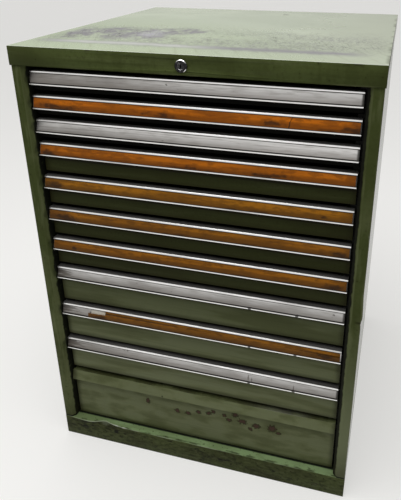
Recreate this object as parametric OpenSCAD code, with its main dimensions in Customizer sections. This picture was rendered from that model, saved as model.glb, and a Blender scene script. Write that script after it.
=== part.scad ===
// Workshop drawer cabinet: a folded steel housing with drawers on telescopic slides,
// label handles clipped on the drawer fronts, and one lock that holds every drawer.
// The origin is at the middle of the footprint on the floor, the front faces -Y and Z is up.

/* [Housing] */
// Width over the side panels
cab_w = 717; // [600:1:1000]
// Depth from the front of the posts to the back
cab_d = 725; // [640:1:900]
// Thickness of the housing's sheet steel
sheet = 1.5; // [1:0.1:2]
// Outside radius of a fold in the housing's sheet
fold_r = 3; // [2.5:0.1:4]
// Height of the plinth
base_h = 57; // [40:1:120]
// Width of the plinth's inward flange, which rests on the floor
base_flange = 25; // [15:1:60]
// Height of the top cover's skirt
skirt_h = 38; // [36:1:60]
// Clearance between the top cover's skirt and the housing
skirt_gap = 0.5; // [0.3:0.1:1]
// Width of the flange at the back of a side panel
rear_flange = 20; // [16:1:30]

/* [Posts and uprights] */
// Width of each front post, seen from the front
post_w = 28; // [24:1:40]
// Depth of each front post
post_d = 80; // [76:1:120]
// Bevel along the inner front edge of each post
post_bevel = 9; // [4:0.5:12]
// Width of the flange that closes a post at its back
post_lip = 18; // [10:1:18]
// Width of each rear upright
upright_w = 40; // [30:1:60]

/* [Drawers] */
// Slot height of each shallow drawer
shallow_h = 50; // [50:1:70]
// Slot height of each medium drawer
medium_h = 75; // [60:1:95]
// Slot height of each large drawer
large_h = 100; // [70:1:130]
// Slot height of the deep drawer
deep_h = 150; // [80:1:200]
// Thickness of the drawers' sheet steel
tray_sheet = 1.2; // [0.8:0.1:1.4]
// How far the drawer fronts lie behind the front of the posts
face_recess = 21.5; // [20:0.5:23]
// Side gap between a drawer front and its post
face_gap = 4.5; // [4:0.5:7]
// Gap between a handle's left end and its post
handle_left_gap = 1.5; // [1.5:0.5:4]
// Gap between a handle's right end and its post
handle_right_gap = 5; // [1.5:0.5:6]
// Gap between the top of a drawer and the top of its slot
head_room = 11; // [10:0.5:12]
// Room between the back of the drawers and the back of the housing
rear_room = 77.5; // [70:0.5:110]

/* [Handles] */
// Slant of the handles from the upright
slant = 14; // [12:1:20]
// Length of the folded lip that carries a handle, down its slant
lip_l = 26; // [25:0.5:30]
// Wall thickness of the handle profile
profile_t = 1.4; // [1:0.1:1.6]
// Depth of the label channel in the handle profile
channel_depth = 1; // [1:0.1:1.4]
// How far the profile's two edges reach over the label channel
edge_cover = 1.2; // [0.8:0.1:2]
// Thickness of a label card
card_t = 0.3; // [0.2:0.05:0.3]
// Thickness of a label cover
cover_t = 0.5; // [0.3:0.05:0.5]
// How far left of the cabinet's middle the broken label cover begins
broken_cover_left = 262; // [150:1:280]
// How much further in its upper half begins
broken_cover_step = 44; // [10:1:80]

/* [Slides] */
// Side room for a slide between a drawer and the posts
slide_room = 22; // [21:0.5:24]
// Height of a cabinet rail
rail_h = 30; // [28:1:32]
// Depth of a cabinet rail's flanges
rail_reach = 13; // [12:0.5:14]
// Thickness of the rails
rail_t = 1.5; // [1.2:0.1:1.6]
// Running clearance between two rails
rail_gap = 0.3; // [0.25:0.05:0.4]

/* [Lock] */
// Diameter of the lock's front ring
ring_d = 24; // [22:0.5:28]
// Diameter of the lock's barrel
barrel_d = 18; // [16:0.5:20]
// Diameter of the turning plug
plug_d = 12; // [11:0.5:13]
// Radius from the plug's axis to the pin on its cam
cam_r = 10; // [9.5:0.1:10.5]
// How far the lock bar drops to lock the drawers
lock_drop = 7.5; // [7:0.1:8]

/* [Hidden] */
$fn = 48;
cut = 1;          // how far a cutting shape passes the face it cuts
weld = 0.3;       // how far two welded shapes run into each other
fit = 0.2;        // clearance round a fixed pin or plate
paint = [0.30, 0.33, 0.20];
dark_paint = [0.22, 0.24, 0.14];
zinc = [0.62, 0.63, 0.62];
aluminium = [0.72, 0.73, 0.73];
chrome = [0.80, 0.81, 0.82];
amber = [0.62, 0.36, 0.08];
card_white = [0.86, 0.82, 0.72];

// Housing
layout = [
    for (n = [1:3]) shallow_h,
    for (n = [1:4]) medium_h,
    for (n = [1:3]) large_h,
    deep_h
];
drawers = len(layout);
slot_clear = 2.5; // gap above the first slot and below the last one
slots_bottom = base_h + slot_clear;
slots_top = slots_bottom + heights_before(drawers);
cab_h = slots_top + slot_clear + skirt_h;
half_w = cab_w / 2;
front = -cab_d / 2;
back = cab_d / 2;
overhang = skirt_gap + sheet;
panel_top = cab_h - sheet;
opening = half_w - post_w;

// Rear uprights
upright_back = 85;   // how far they stand in front of the back
upright_head = 10;   // gap between their upper ends and the top cover
upright_b = cab_d - upright_back - upright_w;
upright_top = panel_top - upright_head;

// Drawers
tray_half = opening - slide_room;
face_half = opening - face_gap;
handle_x0 = handle_left_gap - opening;
handle_x1 = opening - handle_right_gap;
handle_l = handle_x1 - handle_x0;
tray_d = cab_d - face_recess - rear_room;
tray_lift = 3;     // underside of the tray above its slot's floor
face_lift = 1;     // lower edge of the front above its slot's floor
face_flange = 10;  // flange that stiffens the top of the front
tray_fold = 2;     // outside radius of a fold in a drawer's sheet
lip_step = 3;      // how far the folded lip starts in front of the drawer front

// Slides
rail_mid = 18;     // middle of a slide above its slot's floor
rail_b = 50;       // front end of the cabinet rails
rail_past = 20;    // how far the rails pass the rear uprights
rail_l = upright_b + upright_w + rail_past - rail_b;
slide_step = 5;    // how far the middle rail's back stands off the cabinet rail's
slide_shy = 1;     // how much shorter the middle rail's flanges are
slide_h = rail_h - 2 * rail_t - 2 * rail_gap;
slide_reach = rail_reach - slide_shy;
runner_h = slide_h - 2 * rail_t - 2 * rail_gap;
runner_reach = rail_reach;
runner_l = rail_l - rail_past;
rail_lug = [3, 12, 8];
lug_fit = 0.5;
lug_in = 7;        // from the front end of a rail to its first lug
post_lug_b = rail_b + lug_in;
upright_lug_b = upright_b + (upright_w - rail_lug[1]) / 2;

// Handle profile, seen from its end: u runs down the slant and v out of the lip
clip_v = fit;
floor_v = clip_v + profile_t;
edge_v = floor_v + channel_depth;
edge_t = 0.8;            // thickness of the edges over the label channel
ridge_v = edge_v + edge_t;
edge_w = 2.6;            // width of the profile's solid edges
hook_w = profile_t;      // thickness of the hook under the lip
hook_rise = 4.2;         // how far the hook goes up behind the lip
ridge_r = 1.1;           // rounding of the two bright edges
foot_u = lip_l + fit;    // inner side of the hook's foot
end_u = foot_u + hook_w;
flange_short = 0.5;      // how much sooner the profile's flange ends than the drawer's
flange_end = face_recess + face_flange - flange_short;
label_u0 = edge_w + fit;
label_u1 = end_u - edge_w - fit;
label_end = 2;           // from a handle's end to the end of its label
label_x0 = handle_x0 + label_end;
label_x1 = handle_x1 - label_end;
label_gap = 0.05;        // play between the profile, the card and the cover
card_v = floor_v + label_gap;
cover_v = card_v + card_t + label_gap;
covered = [2, 4, 5, 6, 7, 9];
broken = covered[len(covered) - 1];
card_step = 8;           // how much further in the upper half of its card begins
handled = [for (n = [1:drawers - 1]) n];

// Lock
lock_below_top = 20.5;
lock_z = cab_h - lock_below_top;
ring_t = 3.5;
ring_chamfer = 1.5;
barrel_l = 24;
barrel_end = barrel_l - overhang;
nut_t = 5;
nut_wall = 3;
nut_across = barrel_d + 2 * nut_wall;
plug_inset = 0.6;
tail_d = 7;
tail_fit = 0.1;
key_slot = [2.2, 6, 7.5];
cam_gap = 0.4;
cam_b = barrel_end + cam_gap;
cam_t = 2.6;
cam_w = 12;
pin_d = 4;
pin_play = 0.8;
cam_rest = 45;                       // the cam's lean to the left while unlocked
bolt_x = 2 * cam_r * sin(cam_rest);  // travel of the sliding bolt
bolt_gap = 0.6;                      // between the cam and the bolt
bolt_b = cam_b + cam_t + bolt_gap;
bolt_t = 3;
bolt_below = 6;                      // from the plug's axis down to the bolt's lower edge
bolt_head = 2.5;                     // gap between the bolt and the top cover
bolt_z0 = lock_z - bolt_below;
bolt_z1 = panel_top - bolt_head;
bolt_tail = 14;                      // from the cam's pin at rest to the bolt's left end
bolt_left = -cam_r * sin(cam_rest) - bolt_tail;
guide_play = 0.3;                    // clearance of the bar and the bolt in their guides
bar_t = 3;
bar_gap = 4;                         // between the bolt and the bar
bar_b = bolt_b + bolt_t + bar_gap;
bar_w = 12;
bar_x = opening - guide_play;
bar_lift = 2;                        // room left under the bar when it has dropped
bar_arm = 30;                        // from the bar's back to its pin
pin_x = bar_x - bar_arm;
pin_rise = 9.5;                      // from the plug's axis up to the bar's pin
pin_z = lock_z + pin_rise;
pin_edge = 6;                        // metal left round the bar's pin
bolt_end = 8;                        // from the bar's pin to the bolt's right end
bolt_right = pin_x + bolt_end;
hook_h = 6;
hook_clear = 1.5;
hook_z = hook_clear - head_room;     // bottom of a lock hook, from the slot's top
hook_in = 11;
hook_t = 4;
tab_gap = 0.8;
tab_t = 3;
tab_h = 4.5;
tab_below = 0.5;
tab_clear = 2;                       // between a drawer's tab and the bar
strap_t = 1.5;
strap_h = 10;
strap_foot = 2.6;
strap_drawers = [5, 8, 11];
bracket_w = 16;
bracket_places = [0.3, 0.75];

// Screws
screw_d = 5;
screw_head_d = 9;
screw_head_h = 3;
screw_l = 9;
back_screws = 5;
back_screw_end = 45;
foot_w = 22;
foot_gap = 10;
foot_screws = 3;

// The side panels' feet lie between the posts and the rear uprights
foot_front = post_d + foot_gap;
foot_rear = upright_b - foot_gap;

// Sum of the slot heights of the first n drawers
function heights_before(n) = n < 1 ? 0 : layout[n - 1] + heights_before(n - 1);

// Floor and top of drawer n's slot, counted from the top drawer, which is 1
function slot_top(n) = slots_top - heights_before(n - 1);
function slot_floor(n) = slots_top - heights_before(n);

// Y of a plane that lies this far behind the front of the posts
function behind(b) = front + b;

function drawer_name(n, piece) = str("drawer_", n < 10 ? "0" : "", n, "_", piece);

// Unit normal to the left of the way from p to q
function left_of(p, q) = [p[1] - q[1], q[0] - p[0]] / norm(q - p);

// Step from a path's point i to the parallel path one unit to its left
function side_step(path, i) =
    let (
        last = len(path) - 1,
        a = left_of(path[max(i - 1, 0)], path[max(i, 1)]),
        b = left_of(path[min(i, last - 1)], path[min(i + 1, last)])
    )
    (a + b) / (1 + a * b);

// Outline of a folded sheet of thickness t that lies to the left of a path
function folded(path, t) = concat(
    path,
    [for (i = [len(path) - 1:-1:0]) path[i] + t * side_step(path, i)]
);

// Points of an arc of radius r that rounds the corner q between p and s
function corner(p, q, s, r, steps = 4) =
    let (
        u = (p - q) / norm(p - q),
        v = (s - q) / norm(s - q),
        half = acos(u * v) / 2,
        centre = q + (u + v) / norm(u + v) * r / sin(half),
        start = q + u * r / tan(half) - centre,
        sweep = (180 - 2 * half) * sign(v[0] * u[1] - v[1] * u[0])
    )
    [for (k = [0:steps]) centre + turned(start, sweep * k / steps)];

function turned(p, a) = [p[0] * cos(a) - p[1] * sin(a), p[0] * sin(a) + p[1] * cos(a)];

// The same path with its inner corners rounded
function rounded(path, r) = [
    path[0],
    for (i = [1:len(path) - 2]) each corner(path[i - 1], path[i], path[i + 1], r),
    path[len(path) - 1]
];

module box(low, high) {
    translate(low) cube(high - low);
}

// Draws an outline of Y and Z, and carries it along X
module along_x(start, length) {
    translate([start, 0, 0]) rotate([90, 0, 90]) linear_extrude(length) children();
}

// Draws an outline of X and Z, and carries it along Y
module along_y(start, length) {
    translate([0, start + length, 0]) rotate([90, 0, 0]) linear_extrude(length) children();
}

// A round bar along Y, from the depth b back over a length
module round_y(d, b, length) {
    translate([0, behind(b), 0]) rotate([-90, 0, 0]) cylinder(d = d, h = length);
}

module on_both_sides() {
    children();
    mirror([1, 0, 0]) children();
}

// Housing
module base() {
    color(dark_paint) difference() {
        box([-half_w, front, 0], [half_w, back, base_h]);
        box(
            [sheet - half_w, front + sheet, sheet],
            [half_w - sheet, back - sheet, base_h - sheet]
        );
        box(
            [base_flange - half_w, front + base_flange, -cut],
            [half_w - base_flange, back - base_flange, sheet + cut]
        );
        foot_holes();
    }
}

module foot_holes() {
    on_both_sides() for (b = foot_screw_depths())
        translate([half_w - foot_w / 2 - sheet, behind(b), base_h - sheet - cut])
            cylinder(d = screw_d + 2 * fit, h = 2 * sheet + 2 * cut);
}

module back_holes() {
    on_both_sides() for (z = back_screw_heights())
        translate([half_w - rear_flange / 2, 0, z])
            round_y(screw_d + 2 * fit, cab_d - 2 * sheet - cut, 2 * sheet + 2 * cut);
}

function foot_screw_depths() =
    [for (k = [1:foot_screws]) foot_front + (foot_rear - foot_front) * (k - 0.5) / foot_screws];

function back_screw_heights() =
    let (low = base_h + back_screw_end, high = cab_h - skirt_h - back_screw_end)
    [for (k = [0:back_screws - 1]) low + (high - low) * k / (back_screws - 1)];

// The right side: post, panel and rear flange in one folded sheet
module side_panel() {
    path = [
        [opening + post_lip, behind(post_d)],
        [opening, behind(post_d)],
        [opening, behind(post_bevel)],
        [opening + post_bevel, front],
        [half_w, front],
        [half_w, back],
        [half_w - rear_flange, back]
    ];
    color(paint) difference() {
        union() {
            translate([0, 0, base_h]) linear_extrude(panel_top - base_h)
                polygon(folded(rounded(path, fold_r), sheet));
            box(
                [half_w - foot_w, behind(foot_front), base_h],
                [half_w - weld, behind(foot_rear), base_h + sheet]
            );
            rail_lugs(post_lug_b);
        }
        foot_holes();
        back_holes();
    }
}

// Lugs on a post or an upright, which reach through the backs of the cabinet rails
module rail_lugs(b) {
    for (n = [1:drawers])
        translate([opening - rail_lug[0], behind(b), rail_z(n) - rail_lug[2] / 2])
            cube(rail_lug + [weld, 0, 0]);
}

function rail_z(n) = slot_floor(n) + rail_mid;

module right_side_panel() {
    side_panel();
}

module left_side_panel() {
    mirror([1, 0, 0]) side_panel();
}

module back_panel() {
    side = half_w - fold_r - skirt_gap;
    color(dark_paint) difference() {
        box([-side, back - 2 * sheet, base_h], [side, back - sheet, panel_top]);
        back_holes();
    }
}

module top_cover() {
    outer = half_w + overhang;
    inner = half_w + skirt_gap;
    color(paint) difference() {
        box([-outer, front - overhang, cab_h - skirt_h], [outer, back + overhang, cab_h]);
        box(
            [-inner, front - skirt_gap, cab_h - skirt_h - cut],
            [inner, back + skirt_gap, panel_top]
        );
        translate([0, 0, lock_z]) round_y(barrel_d + 2 * fit, -overhang - cut, sheet + 2 * cut);
    }
}

module rear_uprights() {
    wall = half_w - sheet;
    path = [
        [wall, behind(upright_b + upright_w)],
        [opening, behind(upright_b + upright_w)],
        [opening, behind(upright_b)],
        [wall, behind(upright_b)]
    ];
    color(zinc) on_both_sides() {
        translate([0, 0, base_h]) linear_extrude(upright_top - base_h)
            polygon(folded(rounded(path, fold_r), sheet));
        rail_lugs(upright_lug_b);
    }
}

module housing_screws() {
    color(zinc) on_both_sides() {
        for (z = back_screw_heights())
            translate([half_w - rear_flange / 2, 0, z]) {
                round_y(screw_d, cab_d - screw_l, screw_l + weld);
                round_y(screw_head_d, cab_d, screw_head_h);
            }
        for (b = foot_screw_depths())
            translate([half_w - foot_w / 2 - sheet, behind(b), base_h + sheet]) {
                translate([0, 0, -screw_l]) cylinder(d = screw_d, h = screw_l + weld);
                cylinder(d = screw_head_d, h = screw_head_h);
            }
    }
}

// Slides
// A channel on the right side, open toward the drawers, with its back at x
module channel(x, z, height, reach) {
    path = [
        [x - reach, z - height / 2],
        [x, z - height / 2],
        [x, z + height / 2],
        [x - reach, z + height / 2]
    ];
    polygon(folded(path, rail_t));
}

module cabinet_rails() {
    color(zinc) on_both_sides() for (n = [1:drawers]) difference() {
        along_y(behind(rail_b), rail_l) channel(opening, rail_z(n), rail_h, rail_reach);
        for (b = [post_lug_b, upright_lug_b])
            box(
                [opening - rail_t - cut, behind(b) - lug_fit, rail_z(n) - rail_lug[2] / 2 - lug_fit],
                [opening + cut, behind(b) + rail_lug[1] + lug_fit, rail_z(n) + rail_lug[2] / 2 + lug_fit]
            );
    }
}

module drawer_slides(n) {
    color(zinc) on_both_sides()
        along_y(behind(rail_b), rail_l)
            channel(opening - slide_step, rail_z(n), slide_h, slide_reach);
}

// The channel welded to the right side of a drawer, open toward the slide
module runner(n) {
    x = tray_half - weld;
    path = [
        [tray_half + runner_reach, rail_z(n) + runner_h / 2],
        [x, rail_z(n) + runner_h / 2],
        [x, rail_z(n) - runner_h / 2],
        [tray_half + runner_reach, rail_z(n) - runner_h / 2]
    ];
    along_y(behind(rail_b), runner_l) polygon(folded(path, rail_t));
}

// Drawers
function tray_top(n) = slot_top(n) - head_room;

// The point of drawer n's lip at u down the slant and v out of its front
function on_lip(n, u, v) = [
    behind(face_recess - lip_step) - u * sin(slant) - v * cos(slant),
    tray_top(n) - u * cos(slant) + v * sin(slant)
];

module drawer_tray(n) {
    low = slot_floor(n) + tray_lift;
    high = tray_top(n);
    rear = behind(face_recess) + tray_d;
    face = [
        [behind(face_recess + face_flange), high],
        [behind(face_recess), high],
        [behind(face_recess), slot_floor(n) + face_lift]
    ];
    lip = [[behind(face_recess + tray_fold), high], on_lip(n, 0, 0), on_lip(n, lip_l, 0)];
    color(paint) {
        difference() {
            box([-tray_half, behind(face_recess) + weld, low], [tray_half, rear, high - weld]);
            box(
                [tray_sheet - tray_half, behind(face_recess) + tray_sheet, low + tray_sheet],
                [tray_half - tray_sheet, rear - tray_sheet, high + cut]
            );
        }
        along_x(-face_half, 2 * face_half) polygon(folded(rounded(face, tray_fold), tray_sheet));
        along_x(handle_x0, handle_l) polygon(folded(rounded(lip, tray_fold), tray_sheet));
        on_both_sides() runner(n);
        lock_tab(n);
    }
}

// The tab that the lock hook holds
module lock_tab(n) {
    b = bar_b + hook_t + tab_gap;
    top = tray_top(n) - tab_below;
    box(
        [tray_half - weld, behind(b), top - tab_h],
        [bar_x - bar_t - tab_clear, behind(b + tab_t), top]
    );
}

// Height of the handle's flange above the top of drawer n
function flange_low(n) = tray_top(n) + fit;
function flange_high(n) = flange_low(n) + profile_t;

// How far down the slant a plane at v passes the height z
function slant_at(n, z, v) = (tray_top(n) - z + v * sin(slant)) / cos(slant);

module drawer_handle(n) {
    top = on_lip(n, slant_at(n, flange_high(n), ridge_v), ridge_v);
    heel = on_lip(n, end_u, ridge_v);
    outline = concat(
        [
            [behind(flange_end), flange_high(n)],
            [behind(flange_end), flange_low(n)],
            on_lip(n, slant_at(n, flange_low(n), clip_v), clip_v),
            on_lip(n, foot_u, clip_v),
            on_lip(n, foot_u, -tray_sheet - fit),
            on_lip(n, end_u - hook_w - hook_rise, -tray_sheet - fit),
            on_lip(n, end_u - hook_w - hook_rise, -tray_sheet - fit - hook_w),
            on_lip(n, end_u, -tray_sheet - fit - hook_w)
        ],
        corner(on_lip(n, end_u, 0), heel, on_lip(n, 0, ridge_v), ridge_r),
        [
            on_lip(n, end_u - edge_w - edge_cover, ridge_v),
            on_lip(n, end_u - edge_w - edge_cover, edge_v),
            on_lip(n, end_u - edge_w, edge_v),
            on_lip(n, end_u - edge_w, floor_v),
            on_lip(n, edge_w, floor_v),
            on_lip(n, edge_w, edge_v),
            on_lip(n, edge_w + edge_cover, edge_v),
            on_lip(n, edge_w + edge_cover, ridge_v)
        ],
        corner(on_lip(n, lip_l, ridge_v), top, [behind(flange_end), flange_high(n)], ridge_r)
    );
    color(aluminium) along_x(handle_x0, handle_l) polygon(outline);
}

// A strip in the label channel, from x0 to the right end, between two depths v
module label_strip(n, x0, u0, u1, v0, v1) {
    along_x(x0, label_x1 - x0)
        polygon([on_lip(n, u0, v0), on_lip(n, u1, v0), on_lip(n, u1, v1), on_lip(n, u0, v1)]);
}

// A whole strip, or on the broken one a strip with a stepped left end
module label_layer(n, v0, v1, start, step) {
    middle = (label_u0 + label_u1) / 2;
    if (n == broken) {
        label_strip(n, start, middle, label_u1, v0, v1);
        label_strip(n, start + step, label_u0, middle + weld, v0, v1);
    } else {
        label_strip(n, label_x0, label_u0, label_u1, v0, v1);
    }
}

module drawer_label_card(n) {
    color(card_white)
        label_layer(n, card_v, card_v + card_t, -broken_cover_left, card_step);
}

module drawer_label_cover(n) {
    color(amber)
        label_layer(n, cover_v, cover_v + cover_t, -broken_cover_left, broken_cover_step);
}

// Lock
module at_lock() {
    translate([0, 0, lock_z]) children();
}

module lock_barrel() {
    outline = [
        [plug_d / 2 + fit, -overhang - ring_t],
        [ring_d / 2 - ring_chamfer, -overhang - ring_t],
        [ring_d / 2, ring_chamfer - overhang - ring_t],
        [ring_d / 2, -overhang],
        [barrel_d / 2, -overhang],
        [barrel_d / 2, barrel_end],
        [plug_d / 2 + fit, barrel_end]
    ];
    color(chrome) at_lock() translate([0, front, 0]) rotate([-90, 0, 0])
        rotate_extrude() polygon(outline);
}

module lock_nut() {
    color(zinc) at_lock() difference() {
        translate([0, behind(-skirt_gap), 0]) rotate([-90, 0, 0])
            cylinder(d = nut_across / cos(30), h = nut_t, $fn = 6);
        round_y(barrel_d + fit, -skirt_gap - cut, nut_t + 2 * cut);
    }
}

module lock_plug() {
    nose = plug_inset - overhang - ring_t;
    color(chrome) at_lock() difference() {
        union() {
            round_y(plug_d, nose, barrel_end - nose);
            round_y(tail_d, barrel_end - weld, cam_b + cam_t - barrel_end + weld);
        }
        translate([-key_slot[0] / 2, behind(nose) - cut, -key_slot[2] / 2])
            cube(key_slot + [0, cut, 0]);
    }
}

module lock_cam() {
    color(zinc) at_lock() rotate([0, -cam_rest, 0]) difference() {
        union() {
            round_y(cam_w, cam_b, cam_t);
            box([-cam_w / 4, behind(cam_b), 0], [cam_w / 4, behind(cam_b + cam_t), cam_r]);
            translate([0, 0, cam_r]) round_y(cam_w / 2, cam_b, cam_t);
            translate([0, 0, cam_r])
                round_y(pin_d, cam_b + cam_t - weld, bolt_b + bolt_t - cam_b - cam_t + weld);
        }
        round_y(tail_d + tail_fit, cam_b - cut, cam_t + 2 * cut);
    }
}

// The bolt that the cam slides to the right, with a slanted slot that pulls the bar down
module lock_bolt() {
    slot_d = pin_d + pin_play;
    pin_at_rest = [-cam_r * sin(cam_rest), 0, lock_z + cam_r * cos(cam_rest)];
    color(zinc) difference() {
        box([bolt_left, behind(bolt_b), bolt_z0], [bolt_right, behind(bolt_b + bolt_t), bolt_z1]);
        translate(pin_at_rest) slot_along(slot_d, [0, cam_r * (1 - cos(cam_rest))]);
        translate([pin_x, 0, pin_z]) slot_along(slot_d, [-bolt_x, -lock_drop]);
    }
}

// A cut through the bolt, from the origin to an X and Z end, with round ends
module slot_along(d, end) {
    length = norm(end);
    rotate([0, -atan2(end[1], end[0]), 0]) {
        round_y(d, bolt_b - cut, bolt_t + 2 * cut);
        translate([length, 0, 0]) round_y(d, bolt_b - cut, bolt_t + 2 * cut);
        box([0, behind(bolt_b) - cut, -d / 2], [length, behind(bolt_b + bolt_t) + cut, d / 2]);
    }
}

module lock_bar() {
    color(zinc) {
        box(
            [bar_x - bar_t, behind(bar_b), slots_bottom + lock_drop + bar_lift],
            [bar_x, behind(bar_b + bar_w), pin_z + pin_edge]
        );
        box(
            [pin_x - pin_edge, behind(bar_b), pin_z - pin_edge],
            [bar_x - weld, behind(bar_b + bar_t), pin_z + pin_edge]
        );
        translate([pin_x, 0, pin_z]) round_y(pin_d, bolt_b, bar_b - bolt_b + weld);
    }
}

// One hook above each drawer's tab, welded to the bar
module lock_hooks() {
    color(zinc) for (n = [1:drawers])
        box(
            [bar_x - bar_t - hook_in, behind(bar_b), slot_top(n) + hook_z],
            [bar_x - bar_t, behind(bar_b + hook_t), slot_top(n) + hook_z + hook_h]
        );
}

// Straps that keep the bar against the post, and brackets that carry the bolt
module lock_guides() {
    inside = bar_x - bar_t - guide_play;
    b0 = bar_b - guide_play;
    b1 = bar_b + bar_w + guide_play;
    low = bolt_z0 - guide_play;
    color(zinc) {
        for (n = strap_drawers) {
            z = tray_top(n) - 2 * strap_h;
            strap = [
                [opening, behind(b0 - strap_foot)],
                [inside - strap_t, behind(b0 - strap_foot)],
                [inside - strap_t, behind(b1 + strap_foot)],
                [opening, behind(b1 + strap_foot)],
                [opening, behind(b1)],
                [inside, behind(b1)],
                [inside, behind(b0)],
                [opening, behind(b0)]
            ];
            translate([0, 0, z]) linear_extrude(strap_h) polygon(strap);
        }
        for (k = bracket_places) {
            b = bolt_b + bolt_t + guide_play;
            bracket = [
                [behind(b), panel_top],
                [behind(b), low],
                [behind(bolt_b), low],
                [behind(bolt_b), low - strap_t],
                [behind(b + strap_t), low - strap_t],
                [behind(b + strap_t), panel_top]
            ];
            along_x(k * bolt_right, bracket_w) polygon(bracket);
        }
    }
}

base();
left_side_panel();
right_side_panel();
back_panel();
top_cover();
rear_uprights();
cabinet_rails();
housing_screws();
lock_barrel();
lock_nut();
lock_guides();
lock_plug();
lock_cam();
lock_bolt();
lock_bar();
lock_hooks();
for (n = [1:drawers]) drawer_tray(n);
for (n = [1:drawers]) drawer_slides(n);
for (n = handled) drawer_handle(n);
for (n = covered) drawer_label_card(n);
for (n = covered) drawer_label_cover(n);
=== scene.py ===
"""Looks of the workshop drawer cabinet: worn green enamel, aluminium label handles and a chrome lock.

Every length is in metres, in the cabinet's own frame: X to the viewer's right, -Y to the front, Z up.
Colours are linear.
"""

import math

import bmesh
import bpy
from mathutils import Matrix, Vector


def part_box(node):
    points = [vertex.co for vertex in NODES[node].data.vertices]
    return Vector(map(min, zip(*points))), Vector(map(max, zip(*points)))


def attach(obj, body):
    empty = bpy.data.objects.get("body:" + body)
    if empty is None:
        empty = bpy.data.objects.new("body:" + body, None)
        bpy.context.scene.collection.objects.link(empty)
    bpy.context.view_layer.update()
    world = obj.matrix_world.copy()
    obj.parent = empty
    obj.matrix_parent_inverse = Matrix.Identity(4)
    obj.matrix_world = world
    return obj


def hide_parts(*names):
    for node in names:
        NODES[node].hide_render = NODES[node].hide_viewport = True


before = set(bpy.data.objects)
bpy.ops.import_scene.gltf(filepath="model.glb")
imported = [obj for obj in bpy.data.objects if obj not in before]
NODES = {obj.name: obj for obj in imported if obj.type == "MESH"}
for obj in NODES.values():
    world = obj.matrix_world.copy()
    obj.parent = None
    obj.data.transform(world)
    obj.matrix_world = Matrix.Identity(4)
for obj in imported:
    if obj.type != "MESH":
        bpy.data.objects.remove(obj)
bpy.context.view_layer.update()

# Places on the cabinet, read from the frame
TOP_LOW, TOP_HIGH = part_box("top_cover")
BASE_LOW, BASE_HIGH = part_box("base")
FRONT, BACK = BASE_LOW.y, BASE_HIGH.y
LEDGE = BASE_HIGH.z
SIDE = BASE_HIGH.x

# Drawers, counted from the top, those with a label cover, and the nodes of zinc plate
DRAWERS = range(1, 12)
COVERED = (2, 4, 5, 6, 7, 9)
ZINC_NODES = (
    "rear_uprights",
    "cabinet_rails",
    "lock_nut",
    "lock_guides",
    "housing_screws",
    "lock_cam",
    "lock_bolt",
    "lock_bar",
    "lock_hooks",
)

# Damaged label covers, the crack in one of them, and the first of the knocked handles
BROKEN_COVER = 9
CRACKED_COVER = 2
CRACK = 0.200
CRACK_SLOPE = 0.35
CRACK_WIDTH = 0.0014
FIRST_KNOCKED = 8

# Directions, of which two follow the slant of the labels
SLANT = math.radians(14)
UP_THE_LABEL = Vector((0, math.sin(SLANT), math.cos(SLANT)))
OUT_OF_THE_LABEL = Vector((0, -math.cos(SLANT), math.sin(SLANT)))
ACROSS = Vector((1, 0, 0))
BACKWARDS = Vector((0, 1, 0))
UPWARDS = Vector((0, 0, 1))

# A label handle's ridges, channel and grooves, down from its top, its flange, and how soft its lines are
UPPER_RIDGE = (-0.001, 0.0030)
LOWER_RIDGE = (0.0252, 0.0274)
CHANNEL_SPAN = (0.0046, 0.0236)
GROOVES = (0.0043, 0.0240)
GROOVE_REACH = 0.0009
FLANGE = FRONT + 0.0168
CRISP = 0.0004

# The photograph's camera
CAMERA_SPOT = (0.3728, FRONT - 0.9567, 1.1835)
CAMERA_TURN_LEFT = math.radians(15.66)
CAMERA_TILT_DOWN = math.radians(23.31)
CAMERA_SENSOR = 36
CAMERA_LENS = 40.86
CAMERA_SHIFT = (-0.0740, -0.1267)

# Light and room
LAMP_SPOT = (-0.25, -0.75, 3.2)
LAMP_AIM = (0, -0.35, 0.6)
LAMP_SIZE = 2.4
LAMP_POWER = 62
SKY_SPAN = (0.0, 0.9)
ROOM_SPAN = (-0.6, 0.2)
SKY_LOW = (0.05, 0.05, 0.05)
SKY_HIGH = (0.50, 0.50, 0.49)
ROOM_WALL = (0.86, 0.85, 0.835)
ROOM_FRONT = (0.85, 0.845, 0.835)
FLOOR = (0.50, 0.495, 0.485)
FLOOR_SHOWN = (0.93, 0.925, 0.91)
FLOOR_LIFT = 0.50
FLOOR_SIZE = 120
FLOOR_GAP = 0.0005

# Sockets of the Mix node
MIX_COLOUR_A, MIX_COLOUR_B, MIX_COLOUR_OUT = 6, 7, 2
MIX_VALUE_A, MIX_VALUE_B, MIX_VALUE_OUT = 2, 3, 0

# Paint, from fresh to worn
GREEN = (0.070, 0.088, 0.026)
GREEN_SKIRT = (0.083, 0.105, 0.032)
GREEN_DEEP = (0.046, 0.056, 0.015)
# Dusty green, also laid as painted light bounced from the floor and as painted shade on the top
GREEN_DUST_AND_PAINTED_LIGHT = (0.165, 0.184, 0.087)
GREEN_FRESH = (0.240, 0.342, 0.162)
GREEN_TOP = (0.268, 0.325, 0.200)
GREEN_PALE = (0.455, 0.515, 0.365)
# Dark dirt colours, also laid as painted shade: under the handles, in creases and corners, beside the
# drawers and over the upper fronts
GRIME_AND_SHADE = (0.019, 0.017, 0.005)
SOOT_AND_SHADE = (0.006, 0.006, 0.005)
RUST = (0.075, 0.042, 0.030)
PRIMER = (0.165, 0.155, 0.175)
BARE_EDGE = (0.62, 0.64, 0.58)
BARE_STEEL = (0.40, 0.39, 0.43)
DUST = (0.042, 0.040, 0.036)

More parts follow.
